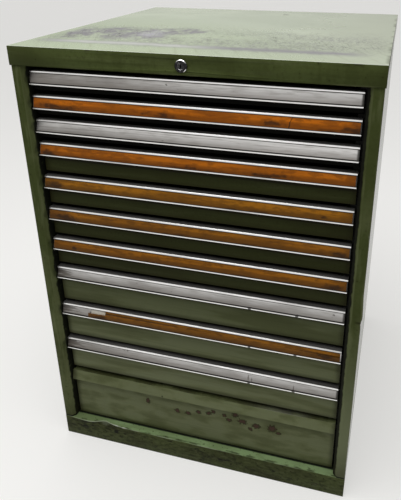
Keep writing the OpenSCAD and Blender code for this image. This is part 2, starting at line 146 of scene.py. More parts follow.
# Metals, plastic and paper
RIDGE = (0.95, 0.945, 0.935)
GROOVE = (0.035, 0.033, 0.030)
# Dull aluminium, also laid as painted shade down a handle's face
ALUMINIUM_DULL_AND_SHADED = (0.17, 0.155, 0.14)
ZINC = (0.24, 0.24, 0.235)
ZINC_DULL = (0.16, 0.16, 0.16)
GREASE = (0.045, 0.040, 0.032)
CHROME = (0.86, 0.86, 0.87)
CHROME_DULL = (0.20, 0.20, 0.20)
CHROME_DARK = (0.022, 0.022, 0.023)
STEEL_RUBBED = (0.22, 0.215, 0.21)
STEEL_DARK = (0.034, 0.034, 0.035)
BROWN_DIRT = (0.075, 0.060, 0.048)
BROWN_STAIN = (0.20, 0.18, 0.16)
PAPER = (0.72, 0.68, 0.60)
PAPER_STAIN = (0.52, 0.40, 0.24)
AMBER_SMUDGE = (0.030, 0.013, 0.004)

# How dark each drawer's front is with dirt and painted shade, how pale with dust and painted light bounced
# from the floor, and from where on that painted shade is black
DIRT_AND_SHADE = {1: 0.97, 2: 0.97, 3: 0.97, 4: 0.54, 5: 0.56, 6: 0.60, 7: 0.60, 8: 0.2, 9: 0.1, 10: 0.0, 11: 0.0}
DUST_AND_LIGHT = {1: 0.0, 2: 0.0, 3: 0.0, 4: 0.0, 5: 0.0, 6: 0.0, 7: 0.1, 8: 0.65, 9: 0.9, 10: 1.0, 11: 0.75}
BLACK_SHADE_FROM = 0.9

# Tone of each handle's label channel, by drawer
CHANNEL = {1: 0.66, 2: 0.40, 3: 0.72, 4: 0.40, 5: 0.40, 6: 0.40, 7: 0.40, 8: 0.56, 9: 0.56, 10: 0.52}

# How much the left half of some handles is dulled, by drawer
DULL_LEFT = {1: 0.6, 10: 0.3}

# Tint of each label cover, by drawer
AMBER = {
    2: (0.50, 0.135, 0.003),
    4: (0.41, 0.116, 0.003),
    5: (0.29, 0.112, 0.004),
    6: (0.25, 0.092, 0.004),
    7: (0.25, 0.090, 0.003),
    9: (0.22, 0.085, 0.004),
}

# Marks on the label covers, by drawer: across, half a length and half a height
COVER_MARKS = {
    2: ((-0.058, 0.030, 0.005), (0.166, 0.018, 0.006), (0.310, 0.018, 0.009), (-0.270, 0.040, 0.008)),
    4: ((0.004, 0.012, 0.004), (0.163, 0.034, 0.004), (-0.310, 0.014, 0.006)),
    5: ((0.270, 0.006, 0.003), (-0.305, 0.020, 0.007)),
    6: ((-0.290, 0.030, 0.007), (0.305, 0.012, 0.006)),
    7: ((-0.276, 0.005, 0.006), (0.300, 0.016, 0.006)),
    9: ((-0.236, 0.016, 0.005), (0.290, 0.024, 0.007)),
}

# Chips on the lowest drawer and marks on its lip: across, up, half a width and half a height
LOWEST_CHIPS = (
    (-0.131, 0.144, 0.0055, 0.0085),
    (-0.054, 0.132, 0.0070, 0.0068),
    (-0.027, 0.132, 0.0082, 0.0062),
    (0.001, 0.142, 0.0070, 0.0060),
    (0.027, 0.145, 0.0064, 0.0062),
    (0.039, 0.153, 0.0062, 0.0060),
    (0.066, 0.149, 0.0056, 0.0060),
    (0.077, 0.138, 0.0078, 0.0056),
    (0.093, 0.158, 0.0082, 0.0088),
    (0.111, 0.142, 0.0125, 0.0080),
    (0.130, 0.124, 0.0062, 0.0048),
    (0.144, 0.137, 0.0105, 0.0080),
    (0.182, 0.140, 0.0120, 0.0110),
    (0.198, 0.130, 0.0070, 0.0052),
)
LIP_MARKS = (
    (-0.012, 0.167, 0.0090, 0.0022),
    (0.030, 0.166, 0.0070, 0.0018),
    (-0.088, 0.176, 0.0022, 0.0024),
    (-0.098, 0.168, 0.0030, 0.0016),
)

# Knocks on the lower ridges of the lower handles: across, below the top, half a width and half a height
RIDGE_KNOCKS = (
    (0.128, 0.0262, 0.0030, 0.0030),
    (0.229, 0.0258, 0.0034, 0.0036),
)

# Upright marks in the lowest handle's channel, given in the same way
CHANNEL_MARKS = (
    (0.126, 0.0150, 0.0016, 0.0075),
    (0.134, 0.0185, 0.0012, 0.0050),
    (0.229, 0.0190, 0.0014, 0.0065),
    (-0.170, 0.0060, 0.0020, 0.0030),
)

# Bare patches on the top: across, depth from the front, half a width and half a depth
TOP_PATCHES = (
    (-0.302, 0.195, 0.036, 0.064),
    (-0.252, 0.238, 0.044, 0.046),
    (-0.205, 0.180, 0.034, 0.050),
    (-0.158, 0.212, 0.056, 0.070),
    (-0.095, 0.264, 0.052, 0.042),
)

# The barest spot among them and a dark mark at the back, given in the same way
TOP_BARE = ((-0.150, 0.215, 0.026, 0.040),)
TOP_MARK = ((0.064, 0.638, 0.010, 0.006),)

# Oil on the plinth's front: across, up, half a width and half a height
PLINTH_MARKS = (
    (-0.270, 0.046, 0.052, 0.007),
    (-0.215, 0.040, 0.034, 0.008),
    (-0.300, 0.034, 0.030, 0.006),
    (-0.069, 0.049, 0.012, 0.003),
    (0.001, 0.041, 0.016, 0.005),
    (0.060, 0.030, 0.040, 0.006),
    (0.192, 0.031, 0.007, 0.003),
    (0.300, 0.021, 0.014, 0.005),
)

# The plinth's knocked upper edge: across, how far it is pushed back and how far up
BUCKLE = (
    (-0.345, 0.0, 0.0),
    (-0.325, 0.0, -0.0020),
    (-0.308, 0.0005, -0.0040),
    (-0.292, 0.0005, -0.0038),
    (-0.278, 0.0010, -0.0020),
    (-0.265, 0.0035, 0.0008),
    (-0.254, 0.0064, 0.0021),
    (-0.246, 0.0070, 0.0023),
    (-0.236, 0.0048, 0.0019),
    (-0.224, 0.0024, 0.0011),
    (-0.205, 0.0012, 0.0004),
    (-0.180, 0.0, 0.0),
)

# Rows below that edge, by height and the share they are pushed back, and how the edge is picked and rounded
BUCKLE_ROWS = ((0.048, 0.55), (0.036, 0.20))
BUCKLE_DEPTH = 0.012
BUCKLE_REACH = 0.004
PLINTH_EDGE = 0.0022
PLINTH_EDGE_STEPS = 3

# The right post's bulged outer edge: height, how far out and how far forward
BULGE = (
    (0.474, 0.0, 0.0),
    (0.485, -0.0010, 0.0),
    (0.492, 0.0002, 0.0008),
    (0.499, 0.0016, 0.0020),
    (0.506, 0.00195, 0.0026),
    (0.520, 0.0015, 0.0020),
    (0.535, 0.0008, 0.0010),
    (0.552, 0.0, 0.0),
)
BULGE_CREASE = 0.4895
BULGE_CUTS = (0.02, 0.05)
BULGE_REACH = 0.008

# The posts' bevels, and the smooth paint of the outer sides
POST_BEVEL = 0.3305
SIDE_ROUGHNESS = 0.14

# A label cover's bow, and the strips that it is bent in
COVER_BOW = 0.0008
COVER_ROWS = 8

# How meshes are joined, smoothed and rounded
MERGE = 0.00001
FLAT_ANGLE = math.radians(1)
FOLD_ANGLE = math.radians(35)
ROUNDED_ANGLE = math.radians(40)
ROUNDED_STEPS = 2
TOP_EDGE = 0.002
BARREL_EDGE = 0.0004
FINE_EDGE = 0.0003


def drawer(number, piece):
    """Name of a drawer's node."""
    return f"drawer_{number:02d}_{piece}"


def deselect_all():
    """Leaves edit mode, with nothing selected."""
    if bpy.context.object and bpy.context.object.mode != "OBJECT":
        bpy.ops.object.mode_set(mode="OBJECT")
    bpy.ops.object.select_all(action="DESELECT")


# Camera, light and floor


def photo_camera():
    """The camera that looks as the photograph does."""
    deselect_all()
    bpy.ops.object.camera_add(
        location=CAMERA_SPOT,
        rotation=(math.pi / 2 - CAMERA_TILT_DOWN, 0, CAMERA_TURN_LEFT),
    )
    camera = bpy.context.object
    camera.name = "photo_camera"
    camera.data.sensor_width = CAMERA_SENSOR
    camera.data.lens = CAMERA_LENS
    camera.data.shift_x, camera.data.shift_y = CAMERA_SHIFT
    bpy.context.scene.camera = camera


def ceiling_light():
    """A large square lamp that looks down at the cabinet."""
    deselect_all()
    bpy.ops.object.light_add(type="AREA", location=LAMP_SPOT)
    lamp = bpy.context.object
    lamp.name = "ceiling_light"
    lamp.data.shape = "SQUARE"
    lamp.data.size = LAMP_SIZE
    lamp.data.energy = LAMP_POWER
    lamp.rotation_euler = (Vector(LAMP_AIM) - Vector(LAMP_SPOT)).to_track_quat("-Z", "Y").to_euler()


def studio():
    """A pale room, darker as a light than as a picture."""
    world = bpy.data.worlds.new("pale_room")
    bpy.context.scene.world = world
    world.use_nodes = True
    tree = world.node_tree
    tree.nodes.clear()
    out = tree.nodes.new("ShaderNodeOutputWorld")
    glow = tree.nodes.new("ShaderNodeBackground")
    tree.links.new(room_mix(tree, "Z", SKY_SPAN, SKY_LOW, SKY_HIGH), glow.inputs["Color"])
    seen = tree.nodes.new("ShaderNodeBackground")
    tree.links.new(room_mix(tree, "Y", ROOM_SPAN, ROOM_FRONT, ROOM_WALL), seen.inputs["Color"])
    choose = tree.nodes.new("ShaderNodeMixShader")
    tree.links.new(seen_directly(tree), choose.inputs["Fac"])
    tree.links.new(glow.outputs["Background"], choose.inputs[1])
    tree.links.new(seen.outputs["Background"], choose.inputs[2])
    tree.links.new(choose.outputs["Shader"], out.inputs["Surface"])


def room_mix(tree, axis, span, first, second):
    """Goes from one colour of the room to another over a span of an axis."""
    direction = tree.nodes.new("ShaderNodeTexCoord").outputs["Generated"]
    parts = tree.nodes.new("ShaderNodeSeparateXYZ")
    tree.links.new(direction, parts.inputs["Vector"])
    ramp = tree.nodes.new("ShaderNodeMapRange")
    ramp.interpolation_type = "SMOOTHSTEP"
    ramp.inputs["From Min"].default_value, ramp.inputs["From Max"].default_value = span
    tree.links.new(parts.outputs[axis], ramp.inputs["Value"])
    mix = tree.nodes.new("ShaderNodeMix")
    mix.data_type = "RGBA"
    tree.links.new(ramp.outputs["Result"], mix.inputs[0])
    mix.inputs[MIX_COLOUR_A].default_value = (*first, 1)
    mix.inputs[MIX_COLOUR_B].default_value = (*second, 1)
    return mix.outputs[MIX_COLOUR_OUT]


def seen_directly(tree):
    """1 on rays that show the room itself: to the camera, in gloss and through glass."""
    path = tree.nodes.new("ShaderNodeLightPath")
    factor = path.outputs["Is Camera Ray"]
    for ray in ("Is Glossy Ray", "Is Transmission Ray"):
        either = tree.nodes.new("ShaderNodeMath")
        either.operation = "MAXIMUM"
        tree.links.new(factor, either.inputs[0])
        tree.links.new(path.outputs[ray], either.inputs[1])
        factor = either.outputs["Value"]
    return factor


def floor():
    """A wide pale floor, lifted a little for the camera and in gloss, which keeps the shadow."""
    deselect_all()
    bpy.ops.mesh.primitive_plane_add(size=FLOOR_SIZE, location=(0, 0, BASE_LOW.z - FLOOR_GAP))
    plane = bpy.context.object
    plane.name = "studio_floor"
    concrete = Finish("pale_floor", FLOOR, 0.8)
    lift = concrete.both(seen_directly(concrete.tree), FLOOR_LIFT)
    concrete.feed(concrete.shader.inputs["Emission Color"], FLOOR_SHOWN)
    concrete.feed(concrete.shader.inputs["Emission Strength"], lift)
    plane.data.materials.append(concrete.done())


# Finishes


class Finish:
    """One finish: a colour, a roughness and a relief, with wear laid over them."""

    def __init__(self, name, colour, roughness, metallic=0.0, gloss=0.5):
        self.material = bpy.data.materials.new(name)
        self.material.use_nodes = True
        self.tree = self.material.node_tree
        self.shader = self.tree.nodes["Principled BSDF"]
        self.shader.inputs["Specular IOR Level"].default_value = gloss
        self.colour = colour
        self.roughness = roughness
        self.metallic = metallic
        self.normal = None
        self.spot = self.add("ShaderNodeTexCoord").outputs["Object"]
        self.x, self.y, self.z = self.parts(self.spot)

    def add(self, kind, **settings):
        node = self.tree.nodes.new(kind)
        for name, value in settings.items():
            setattr(node, name, value)
        return node

    def feed(self, socket, value):
        """Links a socket to another one, or sets a plain number or colour on it."""
        if isinstance(value, bpy.types.NodeSocket):
            self.tree.links.new(value, socket)
        elif socket.type == "RGBA":
            socket.default_value = (*value, 1.0)
        else:
            socket.default_value = value

    def parts(self, vector):
        node = self.add("ShaderNodeSeparateXYZ")
        self.feed(node.inputs["Vector"], vector)
        return node.outputs

    def math(self, operation, first, second=0.0):
        node = self.add("ShaderNodeMath", operation=operation)
        self.feed(node.inputs[0], first)
        self.feed(node.inputs[1], second)
        return node.outputs["Value"]

    def both(self, *masks):
        """Where every mask is 1."""
        product = masks[0]
        for mask in masks[1:]:
            product = self.math("MULTIPLY", product, mask)
        return product

    def ramp(self, value, low, high):
        """Rises smoothly from 0 at low to 1 at high, or falls where high is the smaller one."""
        node = self.add("ShaderNodeMapRange", interpolation_type="SMOOTHSTEP")
        self.feed(node.inputs["Value"], value)
        self.feed(node.inputs["From Min"], low)
        self.feed(node.inputs["From Max"], high)
        return node.outputs["Result"]

    def band(self, value, low, high, soft):
        """1 between two places, with soft ends."""
        rising = self.ramp(value, low - soft, low + soft)
        falling = self.ramp(value, high + soft, high - soft)
        return self.both(rising, falling)

    def near(self, value, centre, reach):
        """1 at a place, and 0 at a distance from it."""
        away = self.math("ABSOLUTE", self.math("SUBTRACT", value, centre))
        return self.ramp(away, reach, 0.0)

    def blots(self, first, second, places, ragged, soft=0.15):
        """Ragged spots, each given by its two places and its two half sizes."""
        total = 0.0
        for centre, height, wide, tall in places:
            across = self.math("DIVIDE", self.math("SUBTRACT", first, centre), wide)
            along = self.math("DIVIDE", self.math("SUBTRACT", second, height), tall)
            square = self.math("ADD", self.both(across, across), self.both(along, along))
            away = self.math("ADD", self.math("SQRT", square), ragged)
            total = self.math("MAXIMUM", total, self.ramp(away, 1.1 + soft, 0.9 - soft))
        return total

    def ragged(self, grain, spread, shift=0.0):
        """How far the edge of a spot strays, for blots."""
        cloud = self.math("SUBTRACT", self.noise(grain, detail=5.0, shift=shift), 0.5)
        return self.math("MULTIPLY", cloud, spread)

    def facing(self, axis):
        """How far the surface faces along X, Y or Z, from -1 to 1."""
        geometry = self.add("ShaderNodeNewGeometry")
        return self.parts(geometry.outputs["Normal"])[axis]

    def noise(self, grain, stretch=(1, 1, 1), detail=4.0, turn=0.0, shift=0.0):
        """Clouds about this big, drawn out along the axes and turned about Z."""
        mapping = self.add("ShaderNodeMapping", vector_type="TEXTURE")
        self.feed(mapping.inputs["Vector"], self.spot)
        mapping.inputs["Location"].default_value = (shift, shift, shift)
        mapping.inputs["Rotation"].default_value = (0, 0, turn)
        mapping.inputs["Scale"].default_value = stretch
        node = self.add("ShaderNodeTexNoise")
        self.feed(node.inputs["Vector"], mapping.outputs["Vector"])
        node.inputs["Scale"].default_value = 1 / grain
        node.inputs["Detail"].default_value = detail
        return node.outputs["Fac"]

    def lay(self, mask, colour, roughness=None):
        """Lays a colour over the finish, and a roughness if one is given, where a mask is 1."""
        node = self.add("ShaderNodeMix", data_type="RGBA")
        self.feed(node.inputs[0], mask)
        self.feed(node.inputs[MIX_COLOUR_A], self.colour)
        self.feed(node.inputs[MIX_COLOUR_B], colour)
        self.colour = node.outputs[MIX_COLOUR_OUT]
        if roughness is not None:
            self.roughness = self.blend(mask, self.roughness, roughness)

    def blend(self, mask, first, second):
        """Goes from one number to another where a mask is 1."""
        node = self.add("ShaderNodeMix", data_type="FLOAT")
        self.feed(node.inputs[0], mask)
        self.feed(node.inputs[MIX_VALUE_A], first)
        self.feed(node.inputs[MIX_VALUE_B], second)
        return node.outputs[MIX_VALUE_OUT]

    def dust(self, mask):
        """Lays dust, which is dull on a metal too."""
        self.lay(mask, DUST, 0.9)
        self.metallic = self.blend(mask, self.metallic, 0.0)

    def relief(self, height, depth):
        """Raises the surface by a depth where the height is 1."""
        node = self.add("ShaderNodeBump")
        node.inputs["Distance"].default_value = depth
        self.feed(node.inputs["Height"], height)
        if self.normal:
            self.feed(node.inputs["Normal"], self.normal)
        self.normal = node.outputs["Normal"]

    def done(self):
        self.feed(self.shader.inputs["Base Color"], self.colour)
        self.feed(self.shader.inputs["Roughness"], self.roughness)
        self.feed(self.shader.inputs["Metallic"], self.metallic)
        if self.normal:
            self.feed(self.shader.inputs["Normal"], self.normal)
        return self.material


def enamel(name, shift=0.0, tone=GREEN, dust=0.6, streaks=0.3, gloss=0.12):
    """Old enamel: uneven, paler low down with dust and painted light from the floor, wiped in faint
    streaks, specked and slightly rippled.
    """
    paint = Finish(name, tone, 0.38, gloss=gloss)
    paint.lay(paint.ramp(paint.noise(0.24, shift=shift), 0.44, 0.70), GREEN_DEEP, 0.44)
    cloud = paint.ramp(paint.noise(0.09, stretch=(1.6, 1.6, 1), detail=6.0, shift=shift), 0.30, 0.62)
    # Paler low down, with dust and with painted light bounced from the floor
    low_down = paint.ramp(paint.z, 0.62, 0.12)
    paint.lay(paint.both(low_down, cloud, dust), GREEN_DUST_AND_PAINTED_LIGHT, 0.45)
    wiped = paint.ramp(paint.noise(0.012, stretch=(18, 18, 1), shift=shift), 0.52, 0.75)
    paint.lay(paint.both(wiped, streaks), GREEN_DUST_AND_PAINTED_LIGHT, 0.46)
    mottled = paint.ramp(paint.noise(0.006, detail=6.0, shift=shift), 0.44, 0.66)
    paint.lay(paint.both(mottled, 0.3), GREEN_DEEP, 0.44)
    specks = paint.ramp(paint.noise(0.006, detail=2.0, shift=shift), 0.71, 0.76)
    paint.lay(paint.both(specks, 0.7), GRIME_AND_SHADE, 0.6)
    paint.relief(paint.noise(0.0035, detail=2.0), 0.00005)
    paint.relief(paint.noise(0.10, detail=1.0, shift=shift), 0.0008)
    return paint


def rub_top_patches(paint, depth, ragged):
    """Bare patches on the left of the top, rubbed through in fine scratches."""
    patches = paint.blots(paint.x, depth, TOP_PATCHES, ragged, soft=0.35)
    torn = paint.ramp(paint.noise(0.018, stretch=(1.1, 1.6, 1), detail=9.0), 0.33, 0.50)
    paint.lay(paint.both(patches, torn, 0.9), PRIMER, 0.50)
    barest = paint.blots(paint.x, depth, TOP_BARE, ragged, soft=0.6)
    paint.lay(paint.both(barest, 0.6), BARE_STEEL, 0.35)
    thin = paint.ramp(paint.noise(0.005, stretch=(2, 2.5, 1), detail=4.0, shift=3.0), 0.52, 0.66)
    paint.lay(paint.both(patches, thin, 0.4), GREEN_PALE, 0.40)


def scuff_top(paint, depth):
    """Fine scuffs over the top's front half."""
    strayed = paint.math("ADD", depth, paint.ragged(0.16, 0.16, shift=5.0))
    field = paint.both(
        paint.band(strayed, 0.080, 0.29, 0.07), paint.band(paint.x, -0.34, 0.345, 0.02)
    )
    where = paint.ramp(paint.noise(0.10, stretch=(1.6, 1, 1), detail=5.0, shift=6.0), 0.34, 0.56)
    paint.lay(paint.both(field, where, 0.12), PRIMER, 0.36)
    scuffs = paint.ramp(paint.noise(0.0060, stretch=(1.1, 1.8, 1), detail=8.0), 0.48, 0.62)
    paint.lay(paint.both(field, where, scuffs, 0.5), PRIMER, 0.44)
    pits = paint.ramp(paint.noise(0.0055, stretch=(1, 2, 1), detail=3.0, shift=7.0), 0.60, 0.68)
    paint.lay(paint.both(field, where, pits, 0.5), GRIME_AND_SHADE, 0.5)
    for turn in (1.1, 1.9):
        cloud = paint.noise(0.03, stretch=(10, 1, 1), turn=turn, shift=turn)
        paint.lay(paint.both(field, paint.near(cloud, 0.5, 0.008), 0.5), GRIME_AND_SHADE, 0.5)
    for grain in (0.010, 0.018):
        lines = paint.noise(grain, stretch=(1.2, 2, 1), detail=6.0, shift=grain * 90)
        paint.lay(paint.both(field, where, paint.near(lines, 0.5, 0.012), 0.6), GRIME_AND_SHADE, 0.5)


def scrape_top(paint, depth):
    """A long scrape behind the top's front edge, strongest on the left."""
    wander = paint.math("MULTIPLY", paint.noise(0.30, detail=2.0, shift=4.0), 0.024)
    track = paint.math("SUBTRACT", depth, wander)
    frayed = paint.math("ADD", track, paint.ragged(0.03, 0.022, shift=3.0))
    ends = paint.band(paint.x, -0.330, 0.31, 0.04)
    line = paint.near(frayed, 0.070, 0.030)
    paint.lay(paint.both(line, ends, 0.9), PRIMER, 0.42)
    # The bright core of the scrape on the left: bared steel with a painted sheen
    sheen_and_bare_core = paint.near(frayed, 0.070, 0.022)
    bright = paint.both(sheen_and_bare_core, paint.band(paint.x, -0.30, 0.02, 0.06), 0.5)
    paint.lay(bright, BARE_EDGE, 0.3)


def top_enamel():
    """The top: glossy and faded, scraped bare where loads were slid over its front edge."""
    paint = Finish("top_enamel", GREEN_TOP, 0.26)
    depth = paint.math("SUBTRACT", paint.y, FRONT)
    faded = paint.ramp(paint.noise(0.30, detail=3.0, shift=2.0), 0.40, 0.65)
    paint.lay(paint.both(faded, 0.5), GREEN_PALE, 0.30)
    # Painted shade: darker towards the right
    shadow = paint.ramp(paint.x, 0.05, 0.36)
    paint.lay(paint.both(shadow, 0.35), GREEN_DUST_AND_PAINTED_LIGHT, 0.30)
    # Painted sheen: paler towards the front edge
    paint.lay(paint.both(paint.ramp(depth, 0.17, 0.04), 0.36), GREEN_PALE, 0.28)
    near_front = paint.ramp(depth, 0.42, 0.30)
    wiped = paint.ramp(paint.noise(0.010, stretch=(1, 12, 1), detail=6.0, turn=0.5), 0.50, 0.72)
    paint.lay(paint.both(wiped, near_front, 0.3), GREEN_DUST_AND_PAINTED_LIGHT, 0.34)

    ragged = paint.ragged(0.030, 2.0, shift=1.0)
    rub_top_patches(paint, depth, ragged)
    scuff_top(paint, depth)
    scrape_top(paint, depth)

    # Small dark marks, and dark knocks along the right edge
    mark = paint.blots(paint.x, depth, TOP_MARK, ragged)
    paint.lay(paint.both(mark, 0.8), GRIME_AND_SHADE, 0.6)
    right = paint.near(paint.x, TOP_HIGH.x, 0.009)
    knocks = paint.ramp(paint.noise(0.06, detail=9.0), 0.42, 0.60)
    paint.lay(paint.both(right, knocks, 0.6), GRIME_AND_SHADE, 0.55)
    # A painted highlight along the front edge, in the colour of bare steel
    front = paint.near(depth, TOP_LOW.y - FRONT, 0.004)
    paint.lay(paint.both(front, 0.7), BARE_EDGE, 0.4)
    paint.relief(paint.noise(0.16, detail=1.0), 0.0005)
    return paint.done()


def skirt_enamel():
    """The top cover's skirt: dark and even, wiped lengthwise, rubbed along its lower edge."""
    paint = enamel("skirt_enamel", shift=1.3, tone=GREEN_SKIRT, gloss=0.06)
    streaks = paint.ramp(paint.noise(0.006, stretch=(26, 26, 1), detail=5.0), 0.50, 0.72)
    paint.lay(paint.both(streaks, 0.4), GREEN_DEEP, 0.46)
    runs = paint.ramp(paint.noise(0.030, stretch=(1, 1, 8), detail=5.0, shift=2.0), 0.48, 0.66)
    paint.lay(paint.both(runs, 0.4), GREEN_DEEP, 0.44)
    nicks = paint.ramp(paint.noise(0.010, stretch=(1.6, 1.6, 1), detail=4.0, shift=6.0), 0.60, 0.66)
    paint.lay(paint.both(paint.near(paint.z, TOP_HIGH.z, 0.006), nicks, 0.85), GRIME_AND_SHADE, 0.6)
    hem = paint.near(paint.z, TOP_LOW.z, 0.004)
    rubbed = paint.ramp(paint.noise(0.02, stretch=(4, 4, 1), detail=5.0), 0.46, 0.66)
    paint.lay(paint.both(hem, rubbed, 0.6), GREEN_DUST_AND_PAINTED_LIGHT, 0.45)
    sides = paint.ramp(paint.math("ABSOLUTE", paint.x), TOP_HIGH.x - 0.0012, TOP_HIGH.x - 0.0004)
    paint.roughness = paint.blend(sides, paint.roughness, SIDE_ROUGHNESS)
    return paint.done()


def rub_and_shade_posts(paint, across, in_front):
    """The rubbed bevel of each post, with painted shade towards the drawers, reaching further on the right
    post, and darker spots beside each handle.
    """
    bevel = paint.both(paint.ramp(across, POST_BEVEL + 0.0105, POST_BEVEL + 0.0085), in_front)
    hands = paint.ramp(paint.noise(0.025, stretch=(1, 1, 8), detail=6.0, shift=2.0), 0.36, 0.60)
    paint.lay(paint.both(bevel, hands, 0.45), GREEN_DUST_AND_PAINTED_LIGHT, 0.46)
    # Painted shade along the posts' inner edges, reaching further on the right post
    wavy = paint.math("ADD", across, paint.ragged(0.014, 0.006))
    on_right = paint.ramp(paint.x, -0.1, 0.1)
    wavy = paint.math("SUBTRACT", wavy, paint.math("MULTIPLY", on_right, 0.0040))
    painted_shade = paint.ramp(wavy, POST_BEVEL + 0.0024, POST_BEVEL + 0.0004)
    paint.lay(paint.both(painted_shade, 0.95), SOOT_AND_SHADE, 0.6)
    # Darker spots on the bevel beside each handle
    handle_spots = []
    for number in DRAWERS[:-1]:
        low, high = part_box(drawer(number, "handle"))
        handle_spots.append((POST_BEVEL + 0.001, (low.z + high.z) / 2, 0.004, 0.013))
    dark_by_handles = paint.blots(across, paint.z, handle_spots, paint.ragged(0.010, 1.8), soft=0.4)
    paint.lay(paint.both(dark_by_handles, in_front, 0.5), SOOT_AND_SHADE, 0.6)


def rub_folds(paint, across):
    """The outer folds of the posts, rubbed pale and bare in places."""
    fold = paint.both(
        paint.ramp(across, SIDE - 0.0028, SIDE - 0.0010),
        paint.ramp(paint.y, FRONT + 0.0028, FRONT + 0.0010),
    )
    knocks = paint.noise(0.012, stretch=(1, 1, 4), detail=6.0, shift=9.0)
    paint.lay(paint.both(fold, paint.ramp(knocks, 0.40, 0.60), 0.6), GREEN_DUST_AND_PAINTED_LIGHT, 0.45)
    paint.lay(paint.both(fold, paint.ramp(knocks, 0.62, 0.68), 0.7), BARE_EDGE, 0.4)


def soil_and_shade_housing(paint, in_front):
    """Dirt at the foot and in the joint with the plinth, and painted shade in the bulge's crease."""
    spread = paint.math("ADD", paint.z, paint.ragged(0.10, 0.12))
    paint.lay(paint.both(paint.ramp(spread, 0.15, 0.05), 0.5), GRIME_AND_SHADE, 0.6)
    joint = paint.ramp(paint.z, LEDGE + 0.0042, LEDGE + 0.0030)
    paint.lay(paint.both(joint, 0.9), SOOT_AND_SHADE, 0.6)
    # Painted shade in the crease below the bulge
    painted_crease_shade = paint.both(paint.near(paint.z, BULGE_CREASE, 0.005), paint.ramp(paint.x, 0.342, 0.354))
    paint.lay(paint.both(painted_crease_shade, in_front, 0.8), GRIME_AND_SHADE, 0.6)


def housing_enamel():
    """Side panels and posts: streaked by hands, chipped, with painted shade beside the drawers and painted
    light from the floor low on the right post.
    """
    paint = enamel("housing_enamel", shift=3.0, streaks=0.0, gloss=0.05)
    in_front = paint.ramp(paint.y, FRONT + 0.012, FRONT + 0.008)
    across = paint.math("ABSOLUTE", paint.x)
    runs = paint.ramp(paint.noise(0.016, stretch=(1, 1, 9), detail=6.0), 0.50, 0.80)
    paint.lay(paint.both(runs, 0.45), GREEN_DEEP, 0.5)
    rubbed = paint.ramp(paint.noise(0.012, stretch=(1, 1, 8), detail=7.0, shift=5.0), 0.52, 0.72)
    paint.lay(paint.both(rubbed, in_front, 0.5), GREEN_DUST_AND_PAINTED_LIGHT, 0.5)
    on_side = paint.ramp(across, SIDE - 0.002, SIDE - 0.0005)
    scraped = paint.near(paint.noise(0.05, stretch=(1, 9, 1), detail=5.0, shift=1.0), 0.5, 0.010)
    hip_high = paint.band(paint.z, 0.35, 0.75, 0.10)
    paint.lay(paint.both(on_side, scraped, hip_high, 0.5), GREEN_DUST_AND_PAINTED_LIGHT, 0.5)
    hazy = paint.ramp(paint.noise(0.07, stretch=(1, 2, 1), detail=8.0, shift=5.0), 0.50, 0.72)
    paint.lay(paint.both(hazy, 0.35), GREEN_DUST_AND_PAINTED_LIGHT, 0.5)
    chips = paint.ramp(paint.noise(0.011, detail=2.0, shift=8.0), 0.745, 0.765)
    paint.lay(chips, RUST, 0.7)
    # Painted light bounced from the floor, on the lower right post
    painted_floor_light = paint.both(paint.ramp(paint.x, 0.30, 0.34), paint.ramp(paint.z, 0.50, 0.15))
    paint.lay(paint.both(painted_floor_light, 0.75), GREEN_DUST_AND_PAINTED_LIGHT, 0.46)
    paint.lay(paint.both(painted_floor_light, in_front, 0.16), GREEN_PALE, 0.46)
    rub_and_shade_posts(paint, across, in_front)
    rub_folds(paint, across)
    soil_and_shade_housing(paint, in_front)
    paint.roughness = paint.blend(on_side, paint.roughness, SIDE_ROUGHNESS)
    return paint.done()


def wear_inside(paint, number, across):
    """Scratches on a tray's floor, and dirt settled in its corners."""
    floor_inside = paint.ramp(paint.facing(2), 0.6, 0.9)
    for turn in (0.4, 1.5, 2.5):
        lines = paint.noise(0.035, stretch=(9, 1, 1), turn=turn, shift=number + turn)
        paint.lay(paint.both(floor_inside, paint.near(lines, 0.5, 0.006), 0.35), GREEN_DUST_AND_PAINTED_LIGHT, 0.45)
    at_front = paint.ramp(paint.y, FRONT + 0.08, FRONT + 0.02)
    corners = paint.math("MAXIMUM", paint.ramp(across, 0.262, 0.306), at_front)
    settled = paint.ramp(paint.noise(0.05, detail=7.0, shift=number * 2.7), 0.36, 0.60)
    paint.lay(paint.both(floor_inside, corners, settled, 0.6), GRIME_AND_SHADE, 0.6)


def chip_lowest(paint, face, top):
    """Chips and marks on the lowest drawer, and the worn edge of its lip."""
    rough = paint.ragged(0.0045, 1.9)
    rims = paint.blots(paint.x, paint.z, LOWEST_CHIPS, rough)
    paint.lay(paint.both(face, rims, 0.85), GRIME_AND_SHADE, 0.7)
    chips = paint.blots(paint.x, paint.z, LOWEST_CHIPS, paint.math("ADD", rough, 0.38))
    paint.lay(paint.both(face, chips), RUST, 0.7)
    marks = paint.blots(paint.x, paint.z, LIP_MARKS, rough)
    paint.lay(paint.both(face, marks, 0.8), GRIME_AND_SHADE, 0.6)
    edge = paint.ramp(paint.z, top - 0.0022, top - 0.0012)
    worn = paint.ramp(paint.noise(0.03, stretch=(5, 1, 1), detail=5.0), 0.40, 0.60)
    to_the_right = paint.ramp(paint.x, 0.10, 0.24)
    paint.lay(paint.both(edge, worn, to_the_right, 0.3), ZINC, 0.4)


def shade_and_soil_front(paint, face, top, dirt):
    """Painted shade below a handle with a painted shadow line, and dirt and painted shade over the whole
    front.
    """
    # Painted shade below the handle
    painted_handle_shade = paint.ramp(paint.z, top - 0.046, top - 0.028)
    paint.lay(paint.both(face, painted_handle_shade, 0.6), GRIME_AND_SHADE, 0.5)
    # A painted shadow line just under the handle
    painted_shadow_line = paint.ramp(paint.z, top - 0.0390, top - 0.0350)
    paint.lay(paint.both(face, painted_shadow_line, 0.85), SOOT_AND_SHADE, 0.5)
    # Dirt and painted shade over the whole front, black on the upper drawers
    paint.lay(paint.both(face, dirt), SOOT_AND_SHADE if dirt > BLACK_SHADE_FROM else GRIME_AND_SHADE, 0.5)


